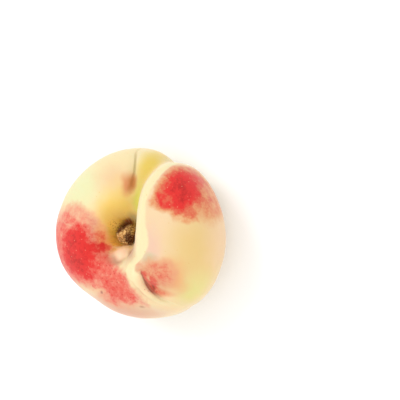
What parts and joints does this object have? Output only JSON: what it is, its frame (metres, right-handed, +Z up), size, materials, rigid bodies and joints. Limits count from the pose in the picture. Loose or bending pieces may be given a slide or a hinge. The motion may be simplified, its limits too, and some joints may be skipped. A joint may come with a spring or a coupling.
{
  "type": "flat peach",
  "caption": "Whole flat peach lying stem end up: a low round fruit with a deep stem cavity, a raised lobe with a curving rim, a creased lip and a woody stem stub.",
  "frame": {"origin": "middle of the fruit's outline, on the surface that it rests on", "axes": "+Z up along the stem; +X towards the raised lobe; +Y to the back, where the valley between the lobes opens"},
  "size_m": [0.0734, 0.0702, 0.041],
  "materials": {
    "peach_skin": "fine short fuzz, pale yellow with a pink and red blush",
    "stem_wood": "dry, rough and broken off"
  },
  "bodies": {
    "root": {"fruit": "peach_skin", "stem_stub": "stem_wood"}
  },
  "joints": []
}
